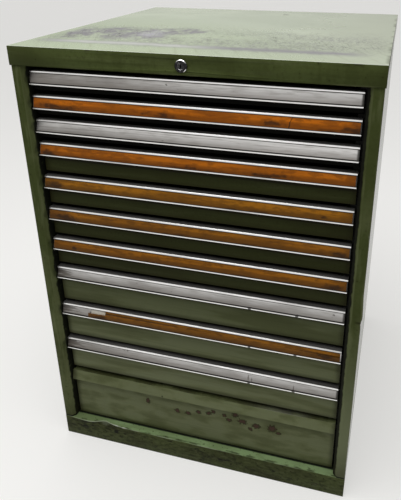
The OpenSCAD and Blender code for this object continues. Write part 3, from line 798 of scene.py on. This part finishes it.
def drawer_enamel(number):
    """A drawer: dark with dirt and painted shade on the upper fronts, pale with dust and painted light from
    the floor on the lower ones, with chips on the lowest.
    """
    low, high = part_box(drawer(number, "tray"))
    lowest = number == DRAWERS[-1]
    gloss = 0.12 - 0.10 * DIRT_AND_SHADE[number]
    paint = enamel(f"drawer_{number:02d}_enamel", shift=number * 1.7, gloss=gloss)
    face = paint.both(
        paint.ramp(paint.facing(1), -0.3, -0.8), paint.ramp(paint.y, FRONT + 0.040, FRONT + 0.030)
    )
    # Dust and painted light bounced from the floor, stronger on the lower fronts
    paint.lay(paint.both(face, DUST_AND_LIGHT[number]), GREEN_DUST_AND_PAINTED_LIGHT, 0.45)
    along = 2.5 if lowest else 7
    smears = paint.noise(0.028, stretch=(along, along, 1), detail=8.0, shift=number * 2.1)
    paint.lay(paint.both(face, paint.ramp(smears, 0.46, 0.66), 0.38), GREEN_DEEP, 0.42)
    pale = 0.09 * DUST_AND_LIGHT[number]
    paint.lay(paint.both(face, paint.ramp(smears, 0.56, 0.40), pale), GREEN_PALE, 0.45)
    brushed = paint.noise(0.004, stretch=(30, 30, 1), detail=4.0, shift=number * 1.1)
    paint.lay(paint.both(face, paint.ramp(brushed, 0.52, 0.70), 0.15), GREEN_DEEP, 0.42)
    across = paint.math("ABSOLUTE", paint.x)
    wear_inside(paint, number, across)
    ends = paint.ramp(paint.math("ADD", across, paint.ragged(0.03, 0.012)), 0.312, 0.326)
    paint.lay(paint.both(face, ends, 0.6), GRIME_AND_SHADE, 0.5)
    hem = paint.ramp(paint.z, low.z + 0.012, low.z)
    paint.lay(paint.both(face, hem, 0.6), GRIME_AND_SHADE, 0.55)
    if lowest:
        chip_lowest(paint, face, high.z)
    else:
        shade_and_soil_front(paint, face, high.z, DIRT_AND_SHADE[number])
    return paint.done()


def plinth_enamel():
    """The plinth: oil-stained in front, with its ledge kept fresher under the drawers."""
    paint = enamel("plinth_enamel", shift=5.0, dust=0.1, gloss=0.06)
    up = paint.ramp(paint.facing(2), 0.3, 0.8)
    front = paint.ramp(paint.facing(1), -0.3, -0.8)

    # Fresh paint on the ledge, with grit and a dirty rim
    paint.lay(paint.both(up, 0.9), GREEN_FRESH, 0.36)
    patchy = paint.ramp(paint.noise(0.02, stretch=(3, 1, 1), detail=8.0, shift=2.0), 0.46, 0.62)
    paint.lay(paint.both(up, patchy, 0.3), GREEN, 0.40)
    paint.lay(paint.both(up, paint.ramp(paint.x, -0.20, -0.29), 0.5), GREEN, 0.40)
    grit = paint.ramp(paint.noise(0.009, detail=7.0, shift=3.0), 0.58, 0.70)
    paint.lay(paint.both(up, grit, 0.6), GRIME_AND_SHADE, 0.6)
    rim = paint.near(paint.y, FRONT + 0.003, 0.005)
    dirty_rim = paint.ramp(paint.noise(0.010, stretch=(3, 1, 1), detail=7.0, shift=8.0), 0.48, 0.60)
    paint.lay(paint.both(up, rim, dirty_rim, 0.8), GRIME_AND_SHADE, 0.6)

    # Oil and grease in front
    haze = paint.ramp(paint.noise(0.04, stretch=(3, 1, 1), detail=9.0), 0.36, 0.64)
    paint.lay(paint.both(front, haze, 0.6), GRIME_AND_SHADE, 0.5)
    oil = paint.blots(paint.x, paint.z, PLINTH_MARKS, paint.ragged(0.020, 3.0), soft=0.7)
    smeared = paint.ramp(paint.noise(0.006, stretch=(2, 1, 1), detail=6.0), 0.40, 0.60)
    paint.lay(paint.both(front, oil, smeared, 0.9), SOOT_AND_SHADE, 0.45)
    greasy = paint.noise(0.007, stretch=(2.2, 1, 1), detail=10.0, shift=6.0)
    paint.lay(paint.both(front, paint.ramp(greasy, 0.50, 0.36), 0.22), GREEN_DUST_AND_PAINTED_LIGHT, 0.45)
    paint.lay(paint.both(front, paint.ramp(greasy, 0.54, 0.64), 0.5), SOOT_AND_SHADE, 0.45)
    spatter = paint.ramp(paint.noise(0.007, detail=3.0), 0.62, 0.68)
    paint.lay(paint.both(front, spatter, 0.8), GRIME_AND_SHADE, 0.5)

    # Upper edge, rubbed and knocked, paler along it with wear and a painted highlight
    edge = paint.both(
        paint.ramp(paint.facing(1), -0.42, -0.60), paint.ramp(paint.facing(2), 0.20, 0.40)
    )
    rubbed = paint.ramp(paint.noise(0.02, stretch=(3, 1, 1), detail=6.0), 0.42, 0.62)
    paint.lay(paint.both(edge, rubbed, 0.4), GREEN_PALE, 0.45)
    knocked = paint.band(paint.x, -0.300, -0.185, 0.012)
    paint.lay(paint.both(edge, knocked, 0.6), GREEN_PALE, 0.40)
    chipped = paint.ramp(paint.noise(0.006, stretch=(2, 1, 1), detail=5.0), 0.44, 0.52)
    bright = paint.both(edge, paint.band(paint.x, -0.222, -0.190, 0.008), chipped)
    paint.lay(bright, BARE_EDGE, 0.4)

    # Painted shade in the corner behind the ledge
    corner = paint.both(up, paint.ramp(paint.y, FRONT + 0.0175, FRONT + 0.0195))
    paint.lay(paint.both(corner, 0.95), SOOT_AND_SHADE, 0.6)
    return paint.done()


def shade_and_soil_channel(metal, number, down, in_channel, stains):
    """Painted shade in the two corners of a handle's channel and at its right end, and dirt at the left end
    of the lower handles.
    """
    low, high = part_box(drawer(number, "handle"))
    patchy = metal.ramp(metal.noise(0.03, stretch=(6, 1, 1), shift=number * 1.9), 0.12, 0.36)
    # Painted shade in the grooves beside the ridges
    for place in GROOVES:
        groove = metal.band(down, place - GROOVE_REACH, place + GROOVE_REACH, 0.0003)
        metal.lay(metal.both(groove, patchy), GROOVE, 0.6)
    # Painted shade at the channel's right end
    if number != BROKEN_COVER:
        right = metal.ramp(metal.x, high.x - 0.0055, high.x - 0.0015)
        metal.lay(metal.both(right, in_channel, 0.9), GROOVE, 0.6)
    if number >= FIRST_KNOCKED:
        at_left = metal.ramp(metal.x, low.x + 0.07, low.x)
        thicker = metal.math("ADD", stains, metal.math("MULTIPLY", at_left, 0.25))
        soiled = metal.ramp(thicker, 0.55, 0.72)
        metal.lay(metal.both(in_channel, at_left, soiled, 0.8), BROWN_DIRT, 0.6)


def polish_ridges(metal, number, down):
    """A handle's polished ridges, knocked on the lower handles; returns where they are."""
    outside = metal.ramp(metal.y, FLANGE, FLANGE - 0.0006)
    upper = metal.band(down, *UPPER_RIDGE, CRISP)
    lower = metal.band(down, *LOWER_RIDGE, CRISP)
    polished = metal.both(metal.math("MAXIMUM", upper, lower), outside)
    metal.lay(polished, RIDGE, 0.32)
    dull = metal.ramp(metal.noise(0.02, stretch=(8, 1, 1), detail=5.0, shift=number * 4.3), 0.50, 0.72)
    metal.lay(metal.both(polished, dull, 0.4), ALUMINIUM_DULL_AND_SHADED, 0.38)
    if number >= FIRST_KNOCKED:
        knocks = metal.blots(metal.x, down, RIDGE_KNOCKS, metal.ragged(0.004, 1.2, shift=number))
        metal.lay(metal.both(knocks, 0.85), GROOVE, 0.6)
    if number == DRAWERS[-2]:
        scores = metal.blots(metal.x, down, CHANNEL_MARKS, metal.ragged(0.003, 1.6), soft=0.4)
        metal.lay(metal.both(scores, 0.6), BROWN_DIRT, 0.6)
    return polished


def handle_metal(number):
    """Extruded aluminium: two polished ridges with painted shade in the grooves beside them, a face
    darkening downwards in painted shade, and a brushed, smudged channel.
    """
    low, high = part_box(drawer(number, "handle"))
    tone = CHANNEL[number]
    grey = (tone, tone * 0.985, tone * 0.965)
    metal = Finish(f"handle_{number:02d}_aluminium", grey, 0.40, metallic=1.0)
    down = metal.math("SUBTRACT", high.z, metal.z)
    in_channel = metal.band(down, *CHANNEL_SPAN, CRISP)
    grain = metal.noise(0.0012, stretch=(220, 1, 1), detail=3.0, shift=number)
    metal.lay(metal.both(metal.ramp(grain, 0.45, 0.75), 0.4), ALUMINIUM_DULL_AND_SHADED, 0.48)
    # Painted shade: darker down the handle's face
    metal.lay(metal.both(metal.ramp(down, 0.006, 0.024), 0.75), ALUMINIUM_DULL_AND_SHADED, 0.46)
    smear = metal.noise(0.05, stretch=(2.5, 1, 1), detail=7.0, shift=number * 2.3)
    left = metal.ramp(metal.x, low.x + 0.20, low.x)
    worn = metal.math("ADD", smear, metal.math("MULTIPLY", left, 0.10))
    metal.lay(metal.both(metal.ramp(worn, 0.48, 0.70), 0.40), ALUMINIUM_DULL_AND_SHADED, 0.5)
    stains = metal.noise(0.004, stretch=(9, 1, 1), detail=8.0, shift=number * 5.3)
    metal.lay(metal.both(in_channel, metal.ramp(stains, 0.44, 0.68), 0.35), BROWN_STAIN, 0.5)
    half_way = metal.ramp(metal.x, low.x + 0.42, low.x)
    metal.lay(metal.both(in_channel, half_way, DULL_LEFT.get(number, 0.0)), BROWN_STAIN, 0.5)
    specks = metal.ramp(metal.noise(0.006, stretch=(2, 1, 1), shift=number * 3.1), 0.70, 0.76)
    metal.lay(metal.both(specks, 0.6), GRIME_AND_SHADE, 0.6)
    shade_and_soil_channel(metal, number, down, in_channel, stains)
    polished = polish_ridges(metal, number, down)
    flange = metal.both(
        metal.ramp(metal.y, FLANGE, FLANGE + 0.0008), metal.ramp(down, 0.0008, 0.0002)
    )
    metal.dust(metal.both(flange, 0.9))
    metal.relief(metal.both(grain, metal.math("SUBTRACT", 1.0, polished)), 0.00001)
    return metal.done()


def amber_plastic(number):
    """A yellowed label cover: streaked lengthwise, with a painted highlight on its upper half and painted
    shade below, darker at its ends, with smudges.
    """
    low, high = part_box(drawer(number, "label_cover"))
    cover = Finish(f"cover_{number:02d}_amber", AMBER[number], 0.30, gloss=0.18)
    deep = tuple(part * 0.5 for part in AMBER[number])
    middle = (low.z + high.z) / 2
    streak = cover.noise(0.006, stretch=(16, 1, 1), detail=5.0, shift=number * 1.3)
    # A painted highlight on the upper half
    light = tuple(part * 1.6 for part in AMBER[number])
    upper = cover.band(cover.z, middle, high.z - 0.002, 0.003)
    cover.lay(cover.both(upper, 0.7), light, 0.30)
    cover.lay(cover.both(cover.ramp(streak, 0.42, 0.68), 0.6), deep, 0.34)
    mottled = cover.noise(0.008, stretch=(2.5, 1, 1), detail=8.0, shift=number * 4.1)
    cover.lay(cover.both(cover.ramp(mottled, 0.46, 0.64), 0.6), deep, 0.34)
    cloud = cover.noise(0.06, stretch=(2.5, 1, 1), shift=number * 2.9)
    cover.lay(cover.both(cover.ramp(cloud, 0.48, 0.7), 0.45), deep, 0.34)
    # Painted shade on the lower half
    cover.lay(cover.both(cover.ramp(cover.z, middle + 0.002, low.z + 0.002), 0.8), deep, 0.34)
    left = cover.ramp(cover.x, low.x + 0.060, low.x)
    right = cover.ramp(cover.x, high.x - 0.025, high.x)
    ends = cover.math("MAXIMUM", left, right)
    cover.lay(cover.both(ends, 0.6), deep, 0.36)
    dirt = cover.noise(0.010, stretch=(5, 1, 1), detail=6.0, shift=number * 3.7)
    edge = cover.ramp(cover.z, low.z + 0.007, low.z + 0.002)
    cover.lay(cover.both(edge, cover.ramp(dirt, 0.50, 0.64), 0.7), AMBER_SMUDGE, 0.5)
    ragged = cover.ragged(0.010, 2.0, shift=number)
    marks = [(x, low.z + 0.006, wide, tall) for x, wide, tall in COVER_MARKS[number]]
    smudge = cover.blots(cover.x, cover.z, marks, ragged, soft=0.5)
    cover.lay(cover.both(smudge, cover.ramp(dirt, 0.34, 0.56), 0.85), AMBER_SMUDGE, 0.5)
    if number == CRACKED_COVER:
        jagged = cover.math("ADD", cover.x, cover.ragged(0.012, 0.010))
        slanted = cover.math("SUBTRACT", jagged, cover.math("MULTIPLY", cover.z, CRACK_SLOPE))
        crack = cover.near(slanted, CRACK - CRACK_SLOPE * middle, CRACK_WIDTH)
        cover.lay(cover.both(crack, 0.9), AMBER_SMUDGE, 0.5)
    cover.relief(cover.noise(0.03, stretch=(4, 1, 1), detail=2.0), 0.0002)
    return cover.done()


def label_paper():
    """Old label cards, stained brown."""
    paper = Finish("label_paper", PAPER, 0.8, gloss=0.2)
    stain = paper.ramp(paper.noise(0.02, stretch=(3, 1, 1)), 0.45, 0.7)
    paper.lay(paper.both(stain, 0.5), PAPER_STAIN, 0.8)
    paper.relief(paper.noise(0.001, detail=3.0), 0.00003)
    return paper.done()


def zinc_steel():
    """Dull zinc plate, dark with old grease, and black with painted shade near the front."""
    zinc = Finish("zinc_steel", ZINC, 0.46, metallic=1.0)
    cloud = zinc.ramp(zinc.noise(0.03, detail=5.0), 0.42, 0.65)
    zinc.lay(zinc.both(cloud, 0.5), ZINC_DULL, 0.52)
    grease = zinc.ramp(zinc.noise(0.05, stretch=(1, 5, 1), shift=4.0), 0.46, 0.64)
    zinc.lay(zinc.both(grease, 0.7), GREASE, 0.40)
    # Painted shade: black near the front
    dirt = zinc.ramp(zinc.y, FRONT + 0.15, FRONT + 0.04)
    zinc.lay(zinc.both(dirt, 0.95), SOOT_AND_SHADE, 0.55)
    zinc.relief(zinc.noise(0.004, stretch=(1, 8, 1)), 0.00004)
    return zinc.done()


def lock_chrome():
    """The lock's ring: dark as a painted reflection of the dim room, with bright chrome laid as painted
    highlights along its upper edge and at its lower right.
    """
    # A dark tone as a painted reflection of the dim room, with painted highlights laid over it
    chrome = Finish("lock_chrome", CHROME_DARK, 0.28, metallic=1.0)
    # Painted highlights where the ring faces up and towards the lower right
    rising = chrome.ramp(chrome.facing(2), 0.30, 0.55)
    lower_right_highlight = chrome.both(
        chrome.ramp(chrome.facing(0), 0.20, 0.40), chrome.ramp(chrome.facing(2), -0.25, -0.40)
    )
    painted_highlights = chrome.math("MAXIMUM", rising, lower_right_highlight)
    chrome.lay(painted_highlights, CHROME, 0.14)
    dull = chrome.ramp(chrome.noise(0.004, detail=5.0), 0.50, 0.70)
    chrome.lay(chrome.both(dull, 0.3), CHROME_DULL, 0.3)
    return chrome.done()


def plug_steel():
    """The lock's plug: dark, rubbed by keys."""
    steel = Finish("plug_steel", STEEL_DARK, 0.34, metallic=1.0)
    rubbed = steel.ramp(steel.noise(0.003, detail=4.0), 0.52, 0.68)
    steel.lay(steel.both(rubbed, 0.5), STEEL_RUBBED, 0.3)
    return steel.done()


# Pieces reshaped by use


def worn_copy(node, name):
    """A copy of a node with its triangles joined into whole faces, left in edit mode."""
    deselect_all()
    piece = bpy.data.objects.new(name, NODES[node].data.copy())
    bpy.context.scene.collection.objects.link(piece)
    piece.select_set(True)
    bpy.context.view_layer.objects.active = piece
    bpy.ops.object.mode_set(mode="EDIT")
    bpy.ops.mesh.select_all(action="SELECT")
    bpy.ops.mesh.remove_doubles(threshold=MERGE)
    bpy.ops.mesh.dissolve_limited(angle_limit=FLAT_ANGLE)
    return piece


def pick(piece, kind, wanted):
    """Selects the points or edges of the piece in edit mode that are wanted."""
    bpy.ops.mesh.select_mode(type=kind)
    bpy.ops.mesh.select_all(action="DESELECT")
    mesh = bmesh.from_edit_mesh(piece.data)
    for part in mesh.verts if kind == "VERT" else mesh.edges:
        part.select = wanted(part)
    mesh.select_flush_mode()
    bmesh.update_edit_mesh(piece.data)


def slices(direction, places):
    """Cuts a loop of edges round the piece at each place along a direction."""
    for place in places:
        bpy.ops.mesh.select_all(action="SELECT")
        bpy.ops.mesh.bisect(plane_co=direction * place, plane_no=direction)


def push(piece, wanted, way):
    """Moves the wanted points."""
    pick(piece, "VERT", wanted)
    bpy.ops.transform.translate(value=way)


def settle(piece, node, body, material):
    """Takes a finished piece out of edit mode, dresses it and puts it in the node's place."""
    bpy.ops.object.mode_set(mode="OBJECT")
    bpy.ops.object.shade_smooth_by_angle(angle=FOLD_ANGLE)
    piece.data.materials.clear()
    piece.data.materials.append(material)
    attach(piece, body)
    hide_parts(node)


def at(value, place):
    """Whether a value is at a place."""
    return abs(value - place) < MERGE


def knocked_plinth(material):
    """The plinth with rounded edges, its upper front edge buckled near the left post."""
    piece = worn_copy("base", "base_knocked")

    def outer(edge):
        ends = [corner.co for corner in edge.verts]
        planes = (
            all(at(abs(end.x), SIDE) for end in ends),
            all(at(end.y, FRONT) for end in ends),
            all(at(end.y, BACK) for end in ends),
            all(at(end.z, LEDGE) for end in ends),
        )
        return sum(planes) > 1

    pick(piece, "EDGE", outer)
    bpy.ops.mesh.bevel(offset=PLINTH_EDGE, segments=PLINTH_EDGE_STEPS, affect="EDGES")
    slices(ACROSS, [across for across, back, up in BUCKLE])
    slices(UPWARDS, [height for height, share in BUCKLE_ROWS])
    slices(BACKWARDS, [FRONT + BUCKLE_DEPTH])
    for across, back, up in BUCKLE:
        def edge_point(point):
            near_front = point.co.y < FRONT + BUCKLE_REACH
            near_ledge = point.co.z > LEDGE - BUCKLE_REACH
            return at(point.co.x, across) and near_front and near_ledge

        push(piece, edge_point, (0, back, up))
        for height, share in BUCKLE_ROWS:
            def row_point(point):
                on_row = at(point.co.x, across) and at(point.co.z, height)
                return on_row and point.co.y < FRONT + BUCKLE_REACH

            push(piece, row_point, (0, back * share, 0))
    settle(piece, "base", "cabinet", material)


def bulged_panel(material):
    """The right side panel with the outer edge of its post bulged by a blow."""
    piece = worn_copy("right_side_panel", "right_side_panel_bulged")
    slices(UPWARDS, [height for height, out, forward in BULGE])
    slices(BACKWARDS, [FRONT + cut for cut in BULGE_CUTS])
    for height, out, forward in BULGE:
        def edge_point(point):
            outer = point.co.x > SIDE - BULGE_REACH and point.co.y < FRONT + BULGE_REACH
            return outer and at(point.co.z, height)

        push(piece, edge_point, (out, -forward, 0))
    settle(piece, "right_side_panel", "cabinet", material)


def bowed_cover(number, material):
    """A label cover that bows out between the two ridges that hold it."""
    node = drawer(number, "label_cover")
    piece = worn_copy(node, f"{node}_bowed")
    heights = {round(UP_THE_LABEL.dot(point.co), 5) for point in NODES[node].data.vertices}
    low, high = min(heights), max(heights)
    rows = {low + (high - low) * step / COVER_ROWS for step in range(1, COVER_ROWS)}
    rows |= heights - {low, high}
    slices(UP_THE_LABEL, rows)
    for row in rows:
        side = (2 * row - low - high) / (high - low)

        def row_point(point):
            return abs(UP_THE_LABEL.dot(point.co) - row) < 2 * MERGE

        push(piece, row_point, OUT_OF_THE_LABEL * COVER_BOW * (1 - side * side))
    settle(piece, node, f"drawer_{number:02d}", material)


# Dressing the nodes


def soften(node, width):
    """Rounds a node's edges for the light, over the same vertices."""
    piece = NODES[node]
    piece.data.polygons.foreach_set("use_smooth", [True] * len(piece.data.polygons))
    weld = piece.modifiers.new("weld", "WELD")
    weld.merge_threshold = MERGE
    if width:
        bevel = piece.modifiers.new("edges", "BEVEL")
        bevel.limit_method = "ANGLE"
        bevel.angle_limit = ROUNDED_ANGLE
        bevel.width = width
        bevel.segments = ROUNDED_STEPS
        bevel.harden_normals = True
    else:
        split = piece.modifiers.new("folds", "EDGE_SPLIT")
        split.split_angle = FOLD_ANGLE


def dress(node, material, edge=0.0):
    """Gives a node its finish, and rounds its edges where a width is given."""
    piece = NODES[node]
    piece.data.materials.clear()
    piece.data.materials.append(material)
    soften(node, edge)


def dress_top():
    """The top cover has one finish on top and another on its skirt."""
    dress("top_cover", top_enamel(), TOP_EDGE)
    cover = NODES["top_cover"].data
    cover.materials.append(skirt_enamel())
    for face in cover.polygons:
        face.material_index = 0 if face.normal.z > 0.5 else 1


photo_camera()
ceiling_light()
studio()
floor()

zinc = zinc_steel()
paper = label_paper()
housing = housing_enamel()
dress_top()
dress("left_side_panel", housing)
dress("back_panel", enamel("back_enamel", shift=9.0, tone=GREEN_DEEP).done())
for node in ZINC_NODES:
    dress(node, zinc)
dress("lock_barrel", lock_chrome(), BARREL_EDGE)
dress("lock_plug", plug_steel(), FINE_EDGE)
for number in DRAWERS:
    dress(drawer(number, "tray"), drawer_enamel(number))
    dress(drawer(number, "slides"), zinc)
for number in DRAWERS[:-1]:
    dress(drawer(number, "handle"), handle_metal(number), FINE_EDGE)
for number in COVERED:
    dress(drawer(number, "label_card"), paper)
    bowed_cover(number, amber_plastic(number))
knocked_plinth(plinth_enamel())
bulged_panel(housing)

bpy.context.scene.view_settings.view_transform = "Standard"
